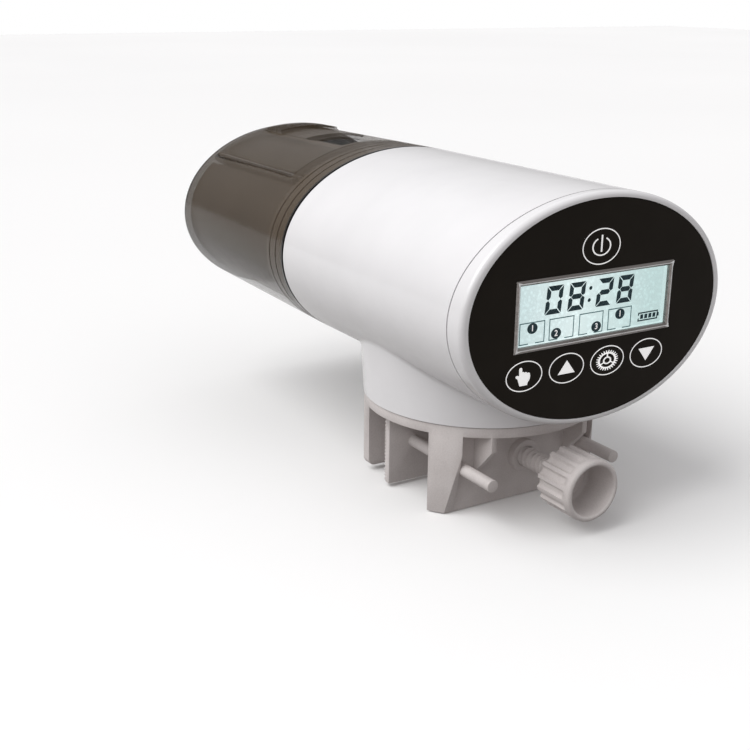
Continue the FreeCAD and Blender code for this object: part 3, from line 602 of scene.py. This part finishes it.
def clampKnob():
    low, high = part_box("clamp_knob")
    axis = (0.0, (low.z + high.z) / 2)
    front, back = low.y / mm, high.y / mm
    outer = (high.z - low.z) / 2 / mm
    hollow, floor = outer - knobShape["wall"], back - knobShape["floorThick"]
    hub, hubEnd = knobShape["hubRadius"], back - knobShape["hubLong"]
    gripStart, gripEnd = front + 1.4, back - 0.6
    rows = int((gripEnd - gripStart - 1.4) / knobShape["rowStep"])
    grip = [(outer, gripStart + (gripEnd - gripStart) * i / rows) for i in range(rows + 1)]
    # the hub, the cup's floor and wall with soft corners, the rounded front rim, the grip, the back
    outline = [(0, hubEnd), (hub - 0.5, hubEnd), (hub, hubEnd + 0.5), (hub, floor + 0.4),
               (hub + 0.4, floor), (hollow - 0.8, floor), (hollow, floor - 0.8),
               (hollow, front + 0.5), (hollow + 0.15, front + 0.15), (hollow + 0.5, front),
               (outer - 0.9, front), (outer - 0.45, front + 0.12), (outer - 0.12, front + 0.5)]
    outline += grip + [(outer - 0.15, back - 0.2), (outer - 0.5, back), (0, back)]
    mesh = bmesh.new()
    lathe(mesh, outline, axis, knobShape["flutes"] * knobShape["stepsPerFlute"])
    # channels run from behind the front lip out through the back
    for vert in mesh.verts:
        away = Vector((vert.co.x - axis[0], 0, vert.co.z - axis[1]))
        along = vert.co.y / mm - front
        if away.length < (outer - knobShape["skin"]) * mm or along < knobShape["skin"]:
            continue
        share = math.atan2(away.z, away.x) / (2 * math.pi) * knobShape["flutes"] % 1.0
        across = abs(share - 0.5) * 2 / knobShape["channelShare"]
        depth = max(0.0, 1 - across ** 4) ** 0.5
        fade = min(1.0, max(0.0, (along - knobShape["frontLip"]) / knobShape["runIn"]))
        fade = fade * fade * (3 - 2 * fade)
        vert.co -= away.normalized() * knobShape["channelDepth"] * mm * depth * fade
    finishPiece("fluteKnob", mesh, "screw", "clamp_grey", ("clamp_knob",), sharp=48)


clampKnob()
print("clamp pieces made")


# display surround, prints on the panel

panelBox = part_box("touch_panel")
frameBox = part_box("display_frame")
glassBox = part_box("display_glass")
panelFront = panelBox[0].y
panelCentre = ((panelBox[0].x + panelBox[1].x) / 2, (panelBox[0].z + panelBox[1].z) / 2)

surround = {
    "rim": 1.3,
    "crestIn": 0.62,
    "crestWide": 0.2,
    "crestRise": 0.36,
    "edgeDrop": 0.42,
    "beadWide": 0.2,
    "beadRise": 0.05,
    "cornerReach": 1.1,
    "cornerBack": 0.7,
    "cornerRise": 0.07,
}


def displaySurround():
    # a strip round the display that climbs to a narrow crest and slopes down to the screen
    low, high = frameBox
    crestIn, crestWide = surround["crestIn"], surround["crestWide"]
    mesh = bmesh.new()
    corners = [(low.x, low.z), (high.x, low.z), (high.x, high.z), (low.x, high.z)]
    face = mesh.faces.new([mesh.verts.new((x, panelFront, z)) for x, z in corners])
    # each inset: how wide it is, and how far the face then rises
    for width, rise in ((crestIn, surround["crestRise"]), (crestWide, 0.0),
                        (surround["rim"] - crestIn - crestWide, -surround["edgeDrop"])):
        insetFace(mesh, face, width)
        bmesh.ops.translate(mesh, verts=face.verts, vec=(0, -rise * mm, 0))
    bmesh.ops.delete(mesh, geom=[face], context="FACES_ONLY")
    # side walls back to the frame's rear, closed there by a ring
    walls = bmesh.ops.extrude_edge_only(mesh, edges=[e for e in mesh.edges if len(e.link_faces) == 1])
    for vert in walls["geom"]:
        if isinstance(vert, bmesh.types.BMVert):
            vert.co.y = high.y
    bmesh.ops.bridge_loops(mesh, edges=[e for e in mesh.edges if len(e.link_faces) == 1])
    finishPiece("displaySurround", mesh, "housing", "display_trim", ("display_frame",),
                sharp=12)


def displayHighlightBead():
    # painted highlight: a pale line along the crest, thickened to a mitre at each corner, standing in for
    # the shine there
    low, high = frameBox
    front = panelFront - surround["crestRise"] * mm
    inset, wide, reach = surround["crestIn"] * mm, surround["beadWide"] * mm, surround["cornerReach"] * mm
    mesh = bmesh.new()
    left, right, foot, top = low.x + inset, high.x - inset, low.z + inset, high.z - inset
    bars = [((left, foot), (right, foot + wide)),
            ((left, top - wide), (right, top)),
            ((left, foot + wide), (left + wide, top - wide)),
            ((right - wide, foot + wide), (right, top - wide))]
    for (x0, z0), (x1, z1) in bars:
        stamp(mesh, [(x0, z0), (x1, z0), (x1, z1), (x0, z1)], front, surround["beadRise"])
    # turnX and turnZ point from each corner towards the middle
    back = inset * surround["cornerBack"]
    for x, z, turnX, turnZ in ((left, foot, 1, 1), (right, foot, -1, 1),
                               (right, top, -1, -1), (left, top, 1, -1)):
        outline = [(x - turnX * back, z - turnZ * back), (x + turnX * reach, z),
                   (x + turnX * wide, z + turnZ * wide), (x, z + turnZ * reach)]
        stamp(mesh, outline, front, surround["cornerRise"])
    finishPiece("displayHighlightBead", mesh, "housing", "bright_trim", sharp=12)


displayHighlightBead()
displaySurround()

keyPrints = {
    "thick": 0.035,
    # half the width, half the height, the line
    "ring": (5.65, 3.95, 0.26),
    "powerRing": (6.15, 4.6, 0.27),
    # places across and up from the panel's middle
    "powerAt": (-0.4, 16.3),
    "rowAt": -13.9,
    "rowMiddle": -2.6,
    "rowStep": 13.4,
    # how much wider and taller each sign is than its drawing
    "powerSize": (1.28, 1.0),
    "powerBarSize": (1.2, 1.0),
    "handSize": (1.38, 1.14),
    "arrowSize": (1.34, 1.06),
    "gearSize": (1.36, 1.0),
}


def keyRing(mesh, centre, size):
    wide, tall, line = size
    flat = bmesh.ops.create_circle(mesh, cap_ends=True, segments=72, radius=1.0)
    face = flat["verts"][0].link_faces[0]
    bmesh.ops.rotate(mesh, verts=flat["verts"], cent=(0, 0, 0), matrix=Matrix.Rotation(math.pi / 2, 3, "X"))
    bmesh.ops.scale(mesh, verts=flat["verts"], vec=(wide * mm, 1, tall * mm))
    bmesh.ops.translate(mesh, verts=flat["verts"], vec=(centre[0], panelFront, centre[1]))
    insetFace(mesh, face, line)
    bmesh.ops.delete(mesh, geom=[face], context="FACES_ONLY")
    band = list(dict.fromkeys(f for v in flat["verts"] for f in v.link_faces))
    raised = bmesh.ops.extrude_face_region(mesh, geom=band)
    bmesh.ops.translate(mesh, verts=[v for v in raised["geom"] if isinstance(v, bmesh.types.BMVert)],
                        vec=(0, -keyPrints["thick"] * mm, 0))


def keyShape(mesh, centre, outline, size):
    wide, tall = keyPrints[size]
    points = [(centre[0] + x * wide * mm, centre[1] + z * tall * mm) for x, z in outline]
    stamp(mesh, points, panelFront, keyPrints["thick"])


def turned(points, angle):
    c, s = math.cos(math.radians(angle)), math.sin(math.radians(angle))
    return [(x * c - z * s, x * s + z * c) for x, z in points]


def powerKey(mesh, centre):
    # a ring open at the top, with a bar through the gap
    keyRing(mesh, centre, keyPrints["powerRing"])
    keyShape(mesh, centre, ringOutline(2.38, 2.06, 118, 422, 48), "powerSize")
    keyShape(mesh, centre, [(-0.2, -1.35), (0.2, -1.35), (0.2, 2.9), (-0.2, 2.9)], "powerBarSize")


def handKey(mesh, centre):
    keyRing(mesh, centre, keyPrints["ring"])
    fist = [(-0.95, -2.1), (0.75, -2.1), (0.85, -1.5), (1.25, -0.9), (1.35, -0.1), (1.25, 0.55),
            (0.95, 0.72), (0.68, 0.60), (0.62, 0.82), (0.28, 0.92), (-0.02, 0.80), (-0.08, 1.02),
            (-0.48, 1.02), (-0.50, 1.75), (-0.60, 2.02), (-0.86, 2.10), (-1.10, 1.98), (-1.18, 1.70),
            (-1.12, 0.25), (-1.55, 0.42), (-1.92, 0.30), (-1.90, -0.05), (-1.45, -0.45), (-1.30, -1.0)]
    keyShape(mesh, centre, fist, "handSize")


def upKey(mesh, centre):
    keyRing(mesh, centre, keyPrints["ring"])
    keyShape(mesh, centre, [(-2.05, -1.35), (2.05, -1.35), (0.0, 1.95)], "arrowSize")


def downKey(mesh, centre):
    keyRing(mesh, centre, keyPrints["ring"])
    keyShape(mesh, centre, [(2.05, 1.35), (-2.05, 1.35), (0.0, -1.95)], "arrowSize")


def gearKey(mesh, centre):
    # teeth round a rim, which three spokes hold on a small hub ring
    keyRing(mesh, centre, keyPrints["ring"])
    teeth = 26
    spike = [(2.05, -0.19), (2.72, -0.09), (2.72, 0.09), (2.05, 0.19)]
    spoke = [(0.95, -0.15), (1.85, -0.15), (1.85, 0.15), (0.95, 0.15)]
    for tooth in range(teeth):
        keyShape(mesh, centre, turned(spike, 360 * tooth / teeth), "gearSize")
    for start in (0, 180):
        keyShape(mesh, centre, ringOutline(2.12, 1.78, start, start + 180, 30), "gearSize")
        keyShape(mesh, centre, ringOutline(1.02, 0.66, start, start + 180, 20), "gearSize")
    for angle in (90, 210, 330):
        keyShape(mesh, centre, turned(spoke, angle), "gearSize")


def printKeys():
    row = [keyPrints["rowMiddle"] + keyPrints["rowStep"] * (i - 1.5) for i in range(4)]
    places = [(x, keyPrints["rowAt"]) for x in row]
    drawings = {"powerKeyPrint": (powerKey, keyPrints["powerAt"]), "feedKeyPrint": (handKey, places[0]),
                "upKeyPrint": (upKey, places[1]), "setKeyPrint": (gearKey, places[2]),
                "downKeyPrint": (downKey, places[3])}
    for name, (draw, (x, z)) in drawings.items():
        mesh = bmesh.new()
        draw(mesh, (panelCentre[0] + x * mm, panelCentre[1] + z * mm))
        finishPiece(name, mesh, "housing", "white_ink")


printKeys()
print("panel prints made")


# what the display shows

readout = {
    "thick": 0.03,
    "digitWide": 5.1,
    "digitTall": 7.2,
    "stroke": 1.3,
    "split": 0.16,
    "lean": 0.09,
    # digit, and its left edge from the middle of the screen
    "digits": (("0", -15.9), ("8", -8.75), ("2", 0.35), ("8", 7.2)),
    "digitFoot": -0.6,
    # how far across, and how high its two dots
    "colonAt": (-1.95, (1.5, 4.6)),
    "colonRadius": 0.5,
    "boxWide": 7.9,
    "boxTall": 5.6,
    "boxFoot": -7.35,
    "boxes": (-23.45, -14.2, -4.65, 4.85),
    "footShare": 0.33,
    "line": 0.27,
    "spotRadius": 1.38,
    "spotStretch": 1.16,
    # number, how far along its box, how high above the boxes' foot
    "meals": (("1", 4.0, 3.95), ("2", 2.3, 1.65), ("3", 5.75, 1.6), ("1", 4.0, 3.9)),
    "numberSize": 2.2,
    "numberBolder": 0.03,
    "numberRise": 0.05,
    # left edge, foot, width, height
    "gauge": (15.4, -6.45, 6.9, 2.4),
    "gaugeLine": 0.36,
    "gaugeTick": 0.5,
    "gaugeCap": 0.4,
    # first bar from the left edge, step, width, room above and below
    "gaugeBars": (0.85, 1.42, 1.0, 0.6),
}
segmentSets = {"0": "abcdef", "2": "abged", "8": "abcdefg"}
screenCentre = ((glassBox[0].x + glassBox[1].x) / 2, (glassBox[0].z + glassBox[1].z) / 2)


def screenStamp(mesh, outline, lean=0.0):
    points = [(screenCentre[0] + (x + lean * z) * mm, screenCentre[1] + z * mm) for x, z in outline]
    stamp(mesh, points, glassBox[0].y, readout["thick"])


def screenBar(mesh, x, z, wide, tall, lean=0.0):
    screenStamp(mesh, [(x, z), (x + wide, z), (x + wide, z + tall), (x, z + tall)], lean)


def digitSegments(left):
    # the seven strokes of a digit, mitred where they meet
    w, h, t, g = (readout[key] for key in ("digitWide", "digitTall", "stroke", "split"))
    foot = readout["digitFoot"]
    x0, x1, y0, y1 = left, left + w, foot, foot + h
    middle = (y0 + y1) / 2
    return {
        "a": [(x0 + g, y1), (x1 - g, y1), (x1 - t - g, y1 - t), (x0 + t + g, y1 - t)],
        "d": [(x0 + t + g, y0 + t), (x1 - t - g, y0 + t), (x1 - g, y0), (x0 + g, y0)],
        "f": [(x0, y1 - g), (x0 + t, y1 - t - g), (x0 + t, middle + t / 2 + g / 2),
              (x0 + t / 2, middle + g / 2), (x0, middle + t / 2 - g)],
        "b": [(x1, y1 - g), (x1, middle + t / 2 - g), (x1 - t / 2, middle + g / 2),
              (x1 - t, middle + t / 2 + g / 2), (x1 - t, y1 - t - g)],
        "e": [(x0, y0 + g), (x0, middle - t / 2 + g), (x0 + t / 2, middle - g / 2),
              (x0 + t, middle - t / 2 - g / 2), (x0 + t, y0 + t + g)],
        "c": [(x1, y0 + g), (x1 - t, y0 + t + g), (x1 - t, middle - t / 2 - g / 2),
              (x1 - t / 2, middle - g / 2), (x1, middle - t / 2 + g)],
        "g": [(x0 + t / 2 + g, middle), (x0 + t + g / 2, middle + t / 2), (x1 - t - g / 2, middle + t / 2),
              (x1 - t / 2 - g, middle), (x1 - t - g / 2, middle - t / 2), (x0 + t + g / 2, middle - t / 2)],
    }


def clockDigits():
    mesh = bmesh.new()
    for digit, left in readout["digits"]:
        strokes = digitSegments(left)
        for key in segmentSets[digit]:
            screenStamp(mesh, strokes[key], readout["lean"])
    across, heights = readout["colonAt"]
    for height in heights:
        dot = [(across + x, height + z) for x, z in arcPoints(readout["colonRadius"], 0, 345, 23)]
        screenStamp(mesh, dot, readout["lean"])
    finishPiece("clockDigits", mesh, "housing", "dark_segment", sharp=20)


def mealBoxes():
    # squares whose foot is open in the middle
    mesh = bmesh.new()
    w, h, line, foot = (readout[key] for key in ("boxWide", "boxTall", "line", "boxFoot"))
    part = w * readout["footShare"]
    for left in readout["boxes"]:
        right, top = left + w, foot + h
        sides = [(left, foot, line, h), (right - line, foot, line, h),
                 (left + line, top - line, w - 2 * line, line),
                 (left + line, foot, part, line), (right - line - part, foot, part, line)]
        for side in sides:
            screenBar(mesh, *side)
    finishPiece("mealBoxes", mesh, "housing", "teal_line", sharp=20)


def mealSpots():
    mesh = bmesh.new()
    numbers = bmesh.new()
    for (digit, along, rise), left in zip(readout["meals"], readout["boxes"]):
        x, z = left + along, readout["boxFoot"] + rise
        rim = arcPoints(readout["spotRadius"], 0, 350, 35)
        screenStamp(mesh, [(x + a * readout["spotStretch"], z + b) for a, b in rim])
        words = bpy.data.curves.new("number", "FONT")
        words.body, words.size = digit, readout["numberSize"] * mm
        words.align_x, words.align_y = "CENTER", "CENTER"
        words.extrude = readout["thick"] * mm / 2
        words.offset = readout["numberBolder"] * mm
        text = bpy.data.objects.new("number", words)
        front = glassBox[0].y - readout["numberRise"] * mm
        place = (screenCentre[0] + x * mm, front, screenCentre[1] + z * mm)
        text.matrix_world = Matrix.Translation(place) @ Matrix.Rotation(math.pi / 2, 4, "X")
        bpy.context.scene.collection.objects.link(text)
        bpy.context.view_layer.update()
        shape = bpy.data.meshes.new_from_object(text.evaluated_get(bpy.context.evaluated_depsgraph_get()))
        shape.transform(text.matrix_world)
        numbers.from_mesh(shape)
        bpy.data.objects.remove(text)
    finishPiece("mealSpots", mesh, "housing", "dark_segment", sharp=20)
    finishPiece("mealNumbers", numbers, "housing", "white_ink", sharp=20)


def chargeGauge():
    # a cell's outline, open in the middle of its left side, with four bars
    mesh = bmesh.new()
    x, z, w, h = readout["gauge"]
    line, tick, cap = readout["gaugeLine"], readout["gaugeTick"], readout["gaugeCap"]
    first, step, wide, room = readout["gaugeBars"]
    sides = [(x, z, w, line), (x, z + h - line, w, line), (x + w - line, z + line, line, h - 2 * line),
             (x, z + line, line, tick), (x, z + h - line - tick, line, tick),
             (x + w, z + h * 0.3, cap, h * 0.4)]
    sides += [(x + first + step * i, z + room, wide, h - 2 * room) for i in range(4)]
    for side in sides:
        screenBar(mesh, *side, readout["lean"] / 2)
    finishPiece("chargeGauge", mesh, "housing", "dark_segment", sharp=20)


clockDigits()
mealBoxes()
mealSpots()
chargeGauge()
print("display made")


# floor

def layFloor():
    finish = Finish("studioFloor")
    cloud = finish.noise(1.5, 2)
    finish.surface(Base_Color=finish.mottle(cloud, (0.92, 0.915, 0.91, 1), (0.94, 0.935, 0.93, 1)),
                   Roughness=0.85, Specular_IOR_Level=0.1)
    mesh = bmesh.new()
    bmesh.ops.create_grid(mesh, x_segments=1, y_segments=1, size=studio["floorSize"] / 2)
    bmesh.ops.translate(mesh, verts=mesh.verts, vec=(0, 0, cadBox[0].z - studio["floorDrop"]))
    data = bpy.data.meshes.new("floor")
    mesh.to_mesh(data)
    mesh.free()
    data.materials.append(finish.material)
    floor = bpy.data.objects.new("floor", data)
    bpy.context.scene.collection.objects.link(floor)
    floor.visible_diffuse = False  # the dim lower sky stands for its bounce


layFloor()
